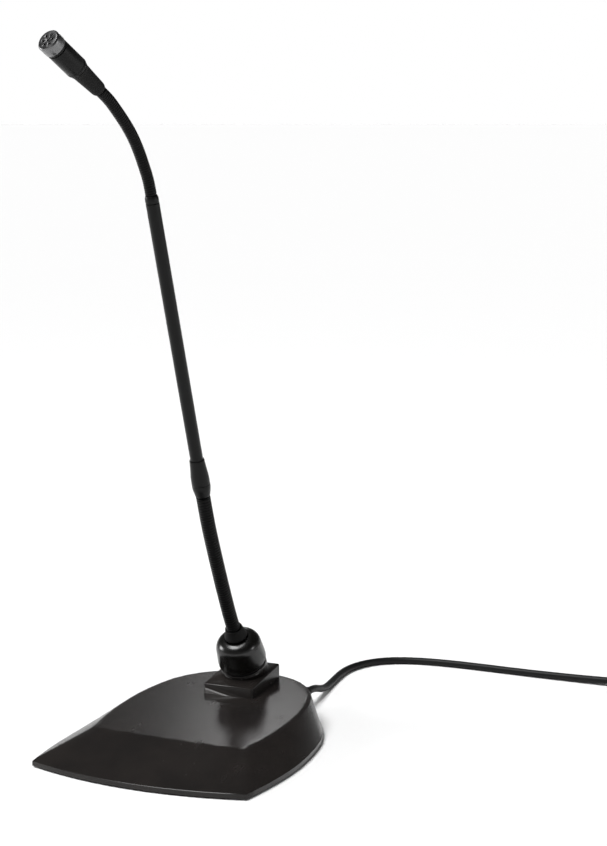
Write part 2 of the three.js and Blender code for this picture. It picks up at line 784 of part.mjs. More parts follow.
// Route of the lead on the desk, from the strain relief to the coil.
const CABLE_ROUTE = [
  [29, 101.3, 10.5],
  [29, 108, 10.1],
  [28.6, 116, 8.6],
  [27.8, 126, 5.6],
  [26.4, 138, 3.3],
  [24.6, 151, 2.65],
  [22.6, 166, 2.6],
  [21.4, 182, 2.6],
  [23.6, 198, 2.6],
  [31, 213, 2.6],
  [44, 224, 2.6],
  [62, 230.4, 2.6],
  [84, 233, 2.7],
  [108, 233.6, 2.7],
  [134, 233.4, 2.7],
  [160, 233.4, 2.9],
  [186, 233.8, 3.3],
  [212, 234.4, 4],
  [242.6, 235, 4.5],
];
function circle(radius, sides) {
  const shape = new THREE.Shape();
  for (let i = 0; i < sides; i += 1) {
    const angle = (2 * Math.PI * i) / sides;
    shape.lineTo(radius * Math.cos(angle), radius * Math.sin(angle));
  }
  return shape;
}
const route = new THREE.CatmullRomCurve3(CABLE_ROUTE.map((point) => new THREE.Vector3(...point)));
add(
  "cable",
  new THREE.ExtrudeGeometry(circle(CABLE_RADIUS, 8), { steps: 36, extrudePath: route }),
  "cable",
);

const coilTop = COIL.bottom + COIL.height;
add(
  "cable_coil",
  turned([
    [COIL.outer, COIL.bottom + 3],
    [COIL.outer, coilTop - 3],
    [COIL.outer - 3, coilTop],
    [COIL.inner + 3, coilTop],
    [COIL.inner, coilTop - 3],
    [COIL.inner, COIL.bottom + 3],
    [COIL.inner + 3, COIL.bottom],
    [COIL.outer - 3, COIL.bottom],
  ], 32).translate(COIL.x, COIL.y, 0),
  "cable",
);
const coilMiddle = (COIL.inner + COIL.outer) / 2;
const coilSection = COIL.outer - COIL.inner;
const tieInside = coilSection + 0.8;
const tieOutside = tieInside + 2 * TIE.thickness;
const tieCentre = COIL.bottom + COIL.height / 2;
add(
  "cable_tie",
  cut(
    new THREE.BoxGeometry(TIE.width, tieOutside, COIL.height + 0.8 + 2 * TIE.thickness),
    new THREE.BoxGeometry(TIE.width * 2, tieInside, COIL.height + 0.8),
  ).translate(COIL.x, COIL.y - coilMiddle, tieCentre),
  "rubber",
);

// The connector lies along -Y beside the coil, its mouth towards the front.
const bootRadius = cableBore + 1.6;
const plugX = COIL.outer - CABLE_RADIUS;
const plugY = Math.sqrt(COIL.outer ** 2 - (plugX - bootRadius) ** 2) + GAP;
const plugFrame = frameAt(
  new THREE.Vector3(COIL.x + plugX, COIL.y - plugY, PLUG.radius + 0.1),
  new THREE.Vector3(0, -1, 0),
);
const shellBottom = PLUG.boot + GAP;
const shellTop = shellBottom + PLUG.shell;
const shellBore = PLUG.radius - PLUG.wall;
add(
  "connector_boot",
  turned([
    [cableBore, 0],
    [bootRadius, 0],
    [bootRadius + 0.8, PLUG.boot * 0.5],
    [PLUG.radius - 1.6, PLUG.boot - 2],
    [PLUG.radius - 1.6, PLUG.boot],
    [cableBore, PLUG.boot],
  ], 20),
  "rubber",
  plugFrame,
);
add(
  "connector_shell",
  turned([
    [PLUG.radius - 1.2, shellBottom],
    [PLUG.radius, shellBottom + 2],
    [PLUG.radius, shellTop],
    [shellBore, shellTop],
    [shellBore, shellBottom],
  ]),
  "steel",
  plugFrame,
);
const insertTop = shellTop - PLUG_PIN.recess - 11;
const pinBottom = insertTop - PLUG.insert - 4;
const pinPlaces = [0, 1, 2].map((i) => {
  const angle = Math.PI / 2 + ((i - 1) * Math.PI) / 2;
  return [PLUG_PIN.circle * Math.cos(angle), PLUG_PIN.circle * Math.sin(angle)];
});
add(
  "connector_insert",
  cut(
    rod(shellBore - GAP, insertTop - PLUG.insert, insertTop, 20),
    ...pinPlaces.map(([x, y]) =>
      rod(PLUG_PIN.radius + GAP, insertTop - PLUG.insert - 1, insertTop + 1, 10).translate(x, y, 0)),
  ),
  "satin_black",
  plugFrame,
);
pinPlaces.forEach(([x, y], i) => {
  add(
    `connector_pin_${i + 1}`,
    rod(PLUG_PIN.radius, pinBottom, pinBottom + PLUG_PIN.length, 10).translate(x, y, 0),
    "brass",
    plugFrame,
  );
});

export default part;
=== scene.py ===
"""Gooseneck podium microphone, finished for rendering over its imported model."""

import json
import math

import bmesh
import bpy
import numpy as np
from bpy.props import FloatProperty, FloatVectorProperty, IntProperty, PointerProperty
from bpy.types import Operator, Panel, PropertyGroup
from mathutils import Euler, Matrix, Vector


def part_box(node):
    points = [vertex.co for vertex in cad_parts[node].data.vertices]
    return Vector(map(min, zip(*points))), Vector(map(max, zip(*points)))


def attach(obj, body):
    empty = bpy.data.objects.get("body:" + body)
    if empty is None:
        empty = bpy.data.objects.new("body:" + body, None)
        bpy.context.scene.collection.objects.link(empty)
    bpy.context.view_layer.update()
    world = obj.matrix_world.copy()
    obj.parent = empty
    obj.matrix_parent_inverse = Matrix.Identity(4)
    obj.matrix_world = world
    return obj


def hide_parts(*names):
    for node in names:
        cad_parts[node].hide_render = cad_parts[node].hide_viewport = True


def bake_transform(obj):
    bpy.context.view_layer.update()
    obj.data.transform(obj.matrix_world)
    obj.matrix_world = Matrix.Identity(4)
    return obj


bl_info = {
    "name": "Gooseneck podium microphone",
    "version": (1, 0, 0),
    "blender": (4, 5, 0),
    "location": "3D Viewport > Sidebar > Microphone",
    "description": "Finishes a weighted desk microphone over its packed model",
    "category": "Object",
}

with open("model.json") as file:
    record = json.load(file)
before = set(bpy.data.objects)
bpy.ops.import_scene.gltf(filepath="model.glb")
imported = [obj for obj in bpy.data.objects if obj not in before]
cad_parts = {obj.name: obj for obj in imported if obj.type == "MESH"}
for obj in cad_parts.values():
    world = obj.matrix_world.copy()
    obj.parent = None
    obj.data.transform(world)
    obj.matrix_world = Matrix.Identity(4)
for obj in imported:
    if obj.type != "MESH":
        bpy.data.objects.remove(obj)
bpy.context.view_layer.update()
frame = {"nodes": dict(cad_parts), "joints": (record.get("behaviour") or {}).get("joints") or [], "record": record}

MM = 0.001
UP = Vector((0, 0, 1))
SAME_POINT = 0.002 * MM
BODY_OF = {
    node: body for body, nodes in frame["record"]["behaviour"]["bodies"].items() for node in nodes
}
JOINT_PLACE = {joint["name"]: Vector(joint["pos_m"]) for joint in frame["joints"]}


# ---- Sizes and colours -------------------------------------------------------------------


class FinishColours(PropertyGroup):
    """Colours of the visible finishes."""

    housing: FloatVectorProperty(
        name="Housing",
        description="Satin moulded cover of the base",
        subtype="COLOR",
        default=(0.0122, 0.0108, 0.0103),
    )
    collar: FloatVectorProperty(
        name="Collar",
        description="Darker, glossier moulding of the turning collar",
        subtype="COLOR",
        default=(0.0034, 0.0034, 0.0031),
    )
    metal: FloatVectorProperty(
        name="Painted metal",
        description="Black powder paint on the tube, ferrule and barrel",
        subtype="COLOR",
        default=(0.0036, 0.0036, 0.0036),
    )
    flex: FloatVectorProperty(
        name="Flexible neck",
        description="Blackened steel winding of the flexible sections",
        subtype="COLOR",
        default=(0.0036, 0.0036, 0.0036),
    )
    rubber: FloatVectorProperty(
        name="Rubber",
        description="Boots, strain relief, pad and seals",
        subtype="COLOR",
        default=(0.0048, 0.0046, 0.0045),
    )
    jacket: FloatVectorProperty(
        name="Lead jacket",
        description="Soft plastic jacket of the lead",
        subtype="COLOR",
        default=(0.005, 0.005, 0.0052),
    )
    grille: FloatVectorProperty(
        name="Grille",
        description="Plated metal of the grille cap and mesh",
        subtype="COLOR",
        default=(0.19, 0.19, 0.192),
    )


class NeckSizes(PropertyGroup):
    """Winding of the flexible sections."""

    lower_pitch: FloatProperty(
        name="Lower pitch",
        description="Rise of one turn of the lower winding",
        unit="LENGTH",
        default=1.9 * MM,
        precision=5,
    )
    upper_pitch: FloatProperty(
        name="Upper pitch",
        description="Rise of one turn of the upper winding",
        unit="LENGTH",
        default=1.5 * MM,
        precision=5,
    )
    groove: FloatProperty(
        name="Groove",
        description="Depth of the groove between two turns",
        unit="LENGTH",
        default=0.38 * MM,
        precision=5,
    )
    sides: IntProperty(
        name="Sides",
        description="Steps in one turn of the winding",
        default=28,
        min=12,
    )


class LeadSizes(PropertyGroup):
    """The attached lead and its coil."""

    length: FloatProperty(
        name="Length",
        description="Real length of the lead",
        unit="LENGTH",
        default=3.0,
    )
    diameter: FloatProperty(
        name="Diameter",
        description="Outside of the jacket",
        unit="LENGTH",
        default=5 * MM,
        precision=5,
    )
    turn_points: IntProperty(
        name="Turn points",
        description="Points in one turn of the coil",
        default=28,
        min=12,
    )


class StageSizes(PropertyGroup):
    """Floor, lights and camera."""

    camera_place: FloatVectorProperty(
        name="Camera place",
        description="Where the camera stands",
        subtype="TRANSLATION",
        default=(0.5689, -1.0915, 0.4017),
    )
    camera_turn: FloatProperty(
        name="Camera turn",
        description="Turn of the camera from looking along +Y",
        subtype="ANGLE",
        default=math.radians(24.48),
    )
    camera_dip: FloatProperty(
        name="Camera dip",
        description="How far the camera looks down",
        subtype="ANGLE",
        default=math.radians(8.88),
    )
    lens: FloatProperty(
        name="Lens",
        description="Focal length in millimetres on a 36 mm sensor",
        default=83.82,
    )
    room_light: FloatProperty(
        name="Room light",
        description="Strength of the glow round the horizon",
        default=0.55,
    )
    overhead_light: FloatProperty(
        name="Overhead light",
        description="Strength of the broad light from above",
        default=3.7,
    )


# ---- Materials ---------------------------------------------------------------------------


class Value:
    """A socket in a node tree, so that its maths reads as arithmetic."""

    def __init__(self, nodes, socket):
        self.nodes = nodes
        self.socket = socket

    def _with(self, operation, other):
        return self.nodes.node("ShaderNodeMath", {"operation": operation}, {0: self, 1: other})

    def __add__(self, other):
        return self._with("ADD", other)

    __radd__ = __add__

    def __mul__(self, other):
        return self._with("MULTIPLY", other)

    __rmul__ = __mul__

    def between(self, low, high):
        """0 below low, 1 above high, smooth in between."""
        return self.nodes.node(
            "ShaderNodeMapRange",
            {"interpolation_type": "SMOOTHSTEP"},
            {"Value": self, "From Min": low, "From Max": high},
        )


class Nodes:
    """A node tree to which nodes are added one way."""

    def __init__(self, tree):
        self.tree = tree

    def node(self, kind, settings=None, inputs=None, output=0):
        """Adds a node: its settings first, then the values or links of its sockets."""
        node = self.tree.nodes.new(kind)
        for setting, value in (settings or {}).items():
            if setting == "stops":
                elements = node.color_ramp.elements
                while len(elements) < len(value):
                    elements.new(0.5)
                for stop, (at, shade) in zip(elements, value):
                    stop.position = at
                    stop.color = (shade, shade, shade, 1.0)
            else:
                setattr(node, setting, value)
        for socket, value in (inputs or {}).items():
            if isinstance(value, Value):
                self.tree.links.new(value.socket, node.inputs[socket])
            else:
                node.inputs[socket].default_value = value
        return Value(self, node.outputs[output])


class Finish(Nodes):
    """A principled material with the patterns of one finish."""

    def __init__(self, name, colour, roughness, metallic=0.0, coat=0.0, specular=0.5):
        self.material = bpy.data.materials.new(name)
        self.material.use_nodes = True
        super().__init__(self.material.node_tree)
        self.shader = self.tree.nodes["Principled BSDF"]
        self.colour = tuple(colour)
        self.roughness = roughness
        self.set("Base Color", (*colour, 1.0))
        self.set("Roughness", roughness)
        self.set("Metallic", metallic)
        self.set("Coat Weight", coat)
        self.set("Specular IOR Level", specular)
        self.place = self.node("ShaderNodeTexCoord", output="Object")

    def set(self, socket, value):
        self.shader.inputs[socket].default_value = value

    def drive(self, socket, value):
        self.tree.links.new(value.socket, self.shader.inputs[socket])

    def noise(self, scale, detail=3.0, stretch=None):
        """Cloudy pattern. The scale is in clouds per metre."""
        where = self.place
        if stretch:
            where = self.node("ShaderNodeMapping", inputs={"Vector": where, "Scale": stretch})
        return self.node(
            "ShaderNodeTexNoise", inputs={"Vector": where, "Scale": scale, "Detail": detail}
        )

    def cells(self, scale):
        """Distance to the nearest of many scattered points, for pebbles and foam."""
        return self.node("ShaderNodeTexVoronoi", inputs={"Vector": self.place, "Scale": scale})

    def tint(self, mask, lighter, warmth=0.0):
        """Blends from the base colour to a lighter one by the mask."""
        other = [min(1.0, c * lighter * (1 + warmth * (1 - i))) for i, c in enumerate(self.colour)]
        mixed = self.node(
            "ShaderNodeMix",
            {"data_type": "RGBA"},
            {"Factor": mask, 6: (*self.colour, 1.0), 7: (*other, 1.0)},
            output=2,
        )
        self.drive("Base Color", mixed)

    def gloss(self, mask, spread):
        """Roughness that wanders by the spread on both sides of its value."""
        self.drive("Roughness", mask * (2 * spread) + (self.roughness - spread))

    def relief(self, height, depth, strength=1.0):
        """Bump of that depth in metres."""
        bump = self.node(
            "ShaderNodeBump",
            inputs={"Height": height, "Distance": depth, "Strength": strength},
            output="Normal",
        )
        self.drive("Normal", bump)


def moulded(name, colour, roughness, grain=0.012 * MM, specular=0.5):
    """Satin moulded plastic: fine spark grain, faint cloudiness and handling marks."""
    finish = Finish(name, colour, roughness, specular=specular)
    spark = finish.noise(5200, 2.0)
    clouds = finish.noise(38, 4.0)
    marks = finish.noise(160, 5.0, stretch=(1.0, 0.35, 1.0)).between(0.55, 0.75)
    finish.tint(clouds.between(0.3, 0.7), 1.28, warmth=0.03)
    finish.gloss(clouds * 0.6 + marks * 0.4, 0.05)
    finish.relief(spark + clouds * 0.35, grain)
    return finish.material


def painted(name, colour, roughness, metallic=0.0, coat=0.0, specular=0.16):
    """Powder paint on metal: orange peel, fine specks and faint rubbing."""
    finish = Finish(name, colour, roughness, metallic, coat, specular)
    peel = finish.noise(900, 3.0)
    specks = finish.noise(7000, 1.0).between(0.62, 0.72)
    rubbed = finish.noise(55, 5.0).between(0.45, 0.75)
    finish.tint(rubbed * 0.7 + specks * 0.3, 1.5)
    finish.gloss(peel * 0.5 + rubbed * 0.5, 0.06)
    finish.relief(peel + specks * 0.4, 0.01 * MM)
    return finish.material


def rubbery(name, colour, roughness=0.72):
    """Moulded rubber: matt, fine grain, with dust in the low places."""
    finish = Finish(name, colour, roughness, specular=0.18)
    grain = finish.noise(3800, 3.0)
    dust = finish.noise(120, 5.0).between(0.5, 0.8)
    finish.tint(dust * 0.8 + grain * 0.2, 1.7, warmth=0.02)
    finish.gloss(grain * 0.5 + dust * 0.5, 0.08)
    finish.relief(grain, 0.02 * MM)
    return finish.material


def bright(name, colour, roughness, stretch, wear=0.8):
    """Plated or turned metal with fine lines along one way."""
    finish = Finish(name, colour, roughness, metallic=1.0)
    lines = finish.noise(1400, 3.0, stretch=stretch)
    stains = finish.noise(90, 4.0).between(0.4, 0.8)
    finish.tint(stains * 0.7 + lines * 0.3, wear)
    finish.gloss(lines * 0.6 + stains * 0.4, 0.09)
    finish.relief(lines, 0.006 * MM)
    return finish.material


def cast(name, colour):
    """Sand cast weight with a pitted skin."""
    finish = Finish(name, colour, 0.62, metallic=0.6)
    pits = finish.cells(700)
    skin = finish.noise(420, 6.0)
    finish.tint(skin.between(0.35, 0.7), 1.8)
    finish.gloss(skin, 0.12)
    finish.relief(skin + pits * 0.6, 0.12 * MM)
    return finish.material


def spongy(name, colour):
    """Open cell foam."""
    finish = Finish(name, colour, 0.95, specular=0.2)
    pores = finish.cells(2600)
    finish.tint(pores.between(0.1, 0.6), 2.4)
    finish.gloss(pores, 0.04)
    finish.relief(pores, 0.15 * MM)
    return finish.material


def laminate(name, colour):
    """Circuit laminate: weave under a lacquer, with paler traces."""
    finish = Finish(name, colour, 0.4, coat=0.3)
    traces = finish.node(
        "ShaderNodeTexBrick",
        {"offset": 0.4},
        {"Vector": finish.place, "Scale": 130.0, "Mortar Size": 0.06, "Mortar Smooth": 0.1},
        output="Fac",
    )
    weave = finish.noise(2400, 2.0, stretch=(1.0, 0.2, 1.0))
    finish.tint(traces * 0.8 + weave * 0.2, 2.1)
    finish.gloss(weave * 0.5 + traces * 0.5, 0.08)
    finish.relief(traces + weave * 0.2, 0.03 * MM)
    return finish.material


def make_finishes(colours):
    """Every finish by the name of its slot in the record."""
    return {
        "moulded_black": moulded("Satin moulding", colours.housing, 0.26, specular=0.3),
        "collar_black": moulded("Collar moulding", colours.collar, 0.27, grain=0.006 * MM),
        "painted_black": painted("Black paint", colours.metal, 0.36, coat=0.03),
        "flex_black": painted("Blackened winding", colours.flex, 0.42, metallic=0.3),
        "black_rubber": rubbery("Rubber", colours.rubber),
        "cable_jacket": rubbery("Lead jacket", colours.jacket, 0.5),
        "plain_steel": bright("Plain steel", (0.42, 0.42, 0.41), 0.34, (1.0, 0.05, 1.0)),
        "cast_weight": cast("Cast weight", (0.045, 0.044, 0.043)),
        "grille_metal": bright("Grille plating", colours.grille, 0.33, (0.2, 0.2, 1.0)),
        "foam": spongy("Foam", (0.012, 0.012, 0.012)),
        "board_green": laminate("Circuit laminate", (0.012, 0.06, 0.026)),
        "gold_brass": bright("Brass", (0.55, 0.4, 0.14), 0.25, (1.0, 1.0, 0.1), wear=0.85),
        "insert_black": moulded("Insert moulding", (0.009, 0.009, 0.01), 0.45),
        "shell_nickel": bright("Nickel plating", (0.4, 0.385, 0.36), 0.24, (1.0, 0.08, 1.0)),
    }


FINISHES = {}
SLOT_OF = {piece["node"]: piece["material_slot"] for piece in frame["record"]["subparts"]}


def finish_of(slot):
    if not FINISHES:
        FINISHES.update(make_finishes(bpy.context.scene.mic_finish))
    return FINISHES[slot]


def refinish(*nodes):
    """Gives carried-over nodes the detailed material of their slot."""
    for node in nodes:
        mesh = frame["nodes"][node].data
        mesh.materials.clear()
        mesh.materials.append(finish_of(SLOT_OF[node]))


# ---- Shapes ------------------------------------------------------------------------------


def linked(name, data):
    """A new object in the scene for a mesh, curve, light or camera."""
    item = bpy.data.objects.new(name, data)
    bpy.context.scene.collection.objects.link(item)
    return item


def as_mesh(bm, name):
    mesh = bpy.data.meshes.new(name)
    bm.to_mesh(mesh)
    bm.free()
    return mesh


def show(bm, name, slot, body, stands_for, crease=32):
    """Turns a bmesh into a finished piece, which rides on its body if one is given."""
    bmesh.ops.recalc_face_normals(bm, faces=bm.faces)
    mesh = as_mesh(bm, name)
    mesh.shade_smooth()
    mesh.set_sharp_from_angle(angle=math.radians(crease))
    mesh.materials.append(finish_of(slot))
    piece = linked(name, mesh)
    if body:
        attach(piece, body)
    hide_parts(*stands_for)
    return piece


def merged_copy(node):
    """A closed bmesh of a node, whose own mesh is loose triangles."""
    bm = bmesh.new()
    bm.from_mesh(frame["nodes"][node].data)
    bmesh.ops.remove_doubles(bm, verts=bm.verts, dist=SAME_POINT)
    return bm


def flat_copy(node):
    """A closed bmesh of a node with the triangles of each flat face joined."""
    bm = merged_copy(node)
    bmesh.ops.dissolve_limit(
        bm, angle_limit=math.radians(0.03), verts=bm.verts[:], edges=bm.edges[:]
    )
    return bm


def long_corners(bm, angle, shortest):
    """Edges sharper than the angle and long enough to take a round."""
    return [
        edge
        for edge in bm.edges
        if edge.is_manifold
        and edge.calc_length() > shortest
        and edge.calc_face_angle(0.0) > math.radians(angle)
    ]


def round_off(bm, corners, width, segments, clamp=True):
    bmesh.ops.bevel(
        bm,
        geom=corners,
        offset=width,
        offset_type="OFFSET",
        affect="EDGES",
        segments=segments,
        profile=0.5,
        clamp_overlap=clamp,
        material=-1,
    )


def rounded_copy(node, width, segments=3, shortest=1.2 * MM):
    """A piece with a node's shape and softened corners."""
    bm = flat_copy(node)
    round_off(bm, long_corners(bm, 40, shortest), width, segments)
    return show(bm, node + "_finished", SLOT_OF[node], BODY_OF[node], [node])


def axis_place(node, towards):
    """Matrix whose origin is the low end of a turned node's axis and whose Z is the axis.

    A turned node spreads alike in two ways. Its axis is the third.
    """
    points = np.unique(
        np.round([vertex.co for vertex in frame["nodes"][node].data.vertices], 7), axis=0
    )
    middle = points.mean(0)
    spreads, ways = np.linalg.eigh(np.cov((points - middle).T))
    odd = 2 if spreads[1] - spreads[0] < spreads[2] - spreads[1] else 0
    axis = Vector(ways[:, odd])
    if axis.dot(Vector(towards)) < 0:
        axis.negate()
    lowest = ((points - middle) @ np.array(axis)).min()
    turn = axis.to_track_quat("Z", "Y").to_matrix().to_4x4()
    return Matrix.Translation(Vector(middle) + axis * lowest) @ turn


def half_section(node, place):
    """The outline of a turned node's half section as a loop of (radius, height)."""
    bm = merged_copy(node)
    bm.transform(place.inverted())
    widest = max(bm.verts, key=lambda vertex: vertex.co.xy.length)
    heading = math.atan2(widest.co.y, widest.co.x)

    def on_plane(vertex):
        off = math.remainder(math.atan2(vertex.co.y, vertex.co.x) - heading, math.tau)
        return vertex.co.xy.length < 10 * SAME_POINT or abs(off) < 0.002

    chosen = {vertex for vertex in bm.verts if on_plane(vertex)}
    follows = {vertex: [] for vertex in chosen}
    for edge in bm.edges:
        if edge.verts[0] in chosen and edge.verts[1] in chosen:
            follows[edge.verts[0]].append(edge.verts[1])
            follows[edge.verts[1]].append(edge.verts[0])
    ends = [vertex for vertex in chosen if len(follows[vertex]) == 1]
    onward = [min(ends or chosen, key=lambda vertex: (vertex.co.z, vertex.co.xy.length))]
    loop = []
    while onward:
        loop.append(onward[0])
        onward = [vertex for vertex in follows[loop[-1]] if vertex not in loop]
    section = [(vertex.co.xy.length, vertex.co.z) for vertex in loop]
    solid = bool(ends)
    bm.free()
    return section, solid


def softened(section, solid, radius, steps=3):
    """The same outline with each corner turned to a short curve."""
    points = [Vector(point) for point in section]
    count = len(points)
    out = []
    for i, corner in enumerate(points):
        if solid and i in (0, count - 1):
            out.append(corner)
            continue
        before, after = points[i - 1], points[(i + 1) % count]
        reach = min(radius, 0.45 * (before - corner).length, 0.45 * (after - corner).length)
        a = corner + (before - corner).normalized() * reach
        b = corner + (after - corner).normalized() * reach
        for step in range(steps + 1):
            t = step / steps
            out.append(a * (1 - t) ** 2 + corner * (2 * t * (1 - t)) + b * t**2)
    return out


def spun(section, solid, sides=96):
    """A bmesh turned about Z from a half section."""
    bm = bmesh.new()
    verts = [bm.verts.new((point[0], 0.0, point[1])) for point in section]
    edges = [bm.edges.new(pair) for pair in zip(verts, verts[1:])]
    if not solid:
        edges.append(bm.edges.new((verts[-1], verts[0])))
    bmesh.ops.spin(
        bm,
        geom=verts + edges,
        cent=(0, 0, 0),
        axis=(0, 0, 1),
        angle=math.tau,
        steps=sides,
        use_merge=True,
    )
    bmesh.ops.remove_doubles(bm, verts=bm.verts, dist=0.0005 * MM)
    return bm


def with_grooves(section, grooves, outside):
    """Cuts narrow grooves, (height, width, depth), in the wall beyond the outside radius."""
    points = [Vector(point) for point in section]
    for height, width, depth in grooves:
        for i in range(len(points)):
            a, b = points[i], points[(i + 1) % len(points)]
            low, high = sorted((a.y, b.y))
            if min(a.x, b.x) < outside or not low < height - width / 2 < height + width / 2 < high:
                continue
            way = 1 if b.y > a.y else -1
            rim, foot = width / 2, width / 2 * 0.55
            added = []
            for offset, drop in ((-rim, 0.0), (-foot, depth), (foot, depth), (rim, 0.0)):
                at = height + way * offset
                radius = a.x + (b.x - a.x) * (at - a.y) / (b.y - a.y)
                added.append(Vector((radius - drop, at)))
            points[i + 1 : i + 1] = added
            break
    return points


def turned_piece(node, towards=UP, radius=0.4 * MM, grooves=(), outside=1.0, sides=96):
    """A finely turned piece that stands for a turned node."""
    place = axis_place(node, towards)
    section, solid = half_section(node, place)
    if grooves:
        section = with_grooves(section, grooves, outside)
    bm = spun(softened(section, solid, radius), solid, sides)
    bm.transform(place)
    return show(bm, node + "_finished", SLOT_OF[node], BODY_OF[node], [node])


# ---- Flexible sections -------------------------------------------------------------------

# Share of a winding piece, at each of its ends, where a bend start and end point are taken; these points are not
# used.
RIGID_SHARE = 0.14


def smooth_line(points, start_way, end_way):
    """A curve through the points that leaves and arrives along the two ways."""
    ways = [start_way.normalized()]
    ways += [(after - before).normalized() for before, after in zip(points, points[2:])]
    ways.append(end_way.normalized())
    knots = [0.0]
    for a, b in zip(points, points[1:]):
        knots.append(knots[-1] + (b - a).length)

    def at(share):
        far = min(max(share, 0.0), 1.0) * knots[-1]
        i = min(len(points) - 2, max(0, sum(knot <= far for knot in knots) - 1))
        span = knots[i + 1] - knots[i]
        t = (far - knots[i]) / span
        a, b, m, n = points[i], points[i + 1], ways[i] * span, ways[i + 1] * span
        place = (
            a * (2 * t**3 - 3 * t**2 + 1)
            + m * (t**3 - 2 * t**2 + t)
            + b * (3 * t**2 - 2 * t**3)
            + n * (t**3 - t**2)
        )
        way = (
            a * (6 * t**2 - 6 * t)
            + m * (3 * t**2 - 4 * t + 1)
            + b * (6 * t - 6 * t**2)
            + n * (3 * t**2 - 2 * t)
        )
        return place, way.normalized()

    return at, knots[-1]


def winding(radius, groove, pitch, length, sides):
    """A straight helical winding about Z, open at both ends."""
    bm = bmesh.new()
    ridge = [(1.0, 0.0), (0.45, 0.1), (0.0, 0.3), (0.0, 0.7), (0.45, 0.9), (1.0, 1.0)]
    spare = 2
    turns = math.ceil(length / pitch) + spare + 1
    verts = [
        bm.verts.new((radius - groove * drop, 0.0, pitch * (rise - spare))) for drop, rise in ridge
    ]
    edges = [bm.edges.new(pair) for pair in zip(verts, verts[1:])]
    bmesh.ops.spin(
        bm,
        geom=verts + edges,
        cent=(0, 0, 0),
        axis=(0, 0, 1),
        dvec=(0, 0, pitch / sides),
        angle=math.tau * turns,
        steps=sides * turns,
    )
    bmesh.ops.remove_doubles(bm, verts=bm.verts, dist=0.005 * MM)
    return bm


def stretch_of(bm, low, high):
    """The closed stretch of a winding between two heights."""
    part = bm.copy()
    for height, way in ((low, -1), (high, 1)):
        bmesh.ops.bisect_plane(
            part,
            geom=part.verts[:] + part.edges[:] + part.faces[:],
            plane_co=(0, 0, height),
            plane_no=(0, 0, way),
            clear_outer=True,
        )
        rim = [edge for edge in part.edges if edge.is_boundary]
        rim = [e for e in rim if all(abs(v.co.z - height) < 0.01 * MM for v in e.verts)]
        bmesh.ops.contextual_create(part, geom=rim)
    return part


def laid_along(bm, line, length):
    """Moves the points of a straight piece on to a curve."""
    side_hint = Vector((1, 0, 0))
    for vertex in bm.verts:
        place, way = line(vertex.co.z / length)
        side = (side_hint - way * side_hint.dot(way)).normalized()
        vertex.co = place + side * vertex.co.x + way.cross(side) * vertex.co.y
    bm.normal_update()


def way_of(node):
    """The way that a turned node's axis points."""
    return axis_place(node, UP).col[2].xyz


def centre_line(nodes, pivots, leading, following):
    """The curve from the first node's foot to the last one's top, through the pivots."""
    start = axis_place(nodes[0], UP).translation
    last = axis_place(nodes[-1], UP)
    heights = [(last.inverted() @ vertex.co).z for vertex in frame["nodes"][nodes[-1]].data.vertices]
    end = last.translation + last.col[2].xyz * max(heights)
    if leading:
        start_way = way_of(leading)
    else:
        before = (pivots[0] - start).normalized()
        after = (pivots[1] - pivots[0]).normalized()
        start_way = before * 2 - after
    return smooth_line([start, *pivots, end], start_way, way_of(following))


def flexible_section(name, nodes, joints, leading, following, groove, pitch, sides):
    """Winding along one flexible section, in one piece for each joint in it."""
    inverse = axis_place(nodes[0], UP).inverted()
    radius = max((inverse @ v.co).xy.length for v in frame["nodes"][nodes[0]].data.vertices)
    pivots = [JOINT_PLACE[joint] for joint in joints]
    line, length = centre_line(nodes, pivots, leading, following)
    straight = winding(radius, groove, pitch, length, sides)
    pieces = len(joints)
    for i in range(pieces):
        part = stretch_of(straight, length * i / pieces, length * (i + 1) / pieces)
        laid_along(part, line, length)
        stands_for = nodes[:2] if i == 0 else [nodes[i + 1]]
        piece = show(part, f"{name}_winding_{i + 1}", SLOT_OF[nodes[0]], None, stands_for, 80)
        bend_start, _ = line((i + RIGID_SHARE) / pieces)
        bend_end, _ = line((i + 1 - RIGID_SHARE) / pieces)
        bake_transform(piece)
    straight.free()


# ---- Operators ---------------------------------------------------------------------------


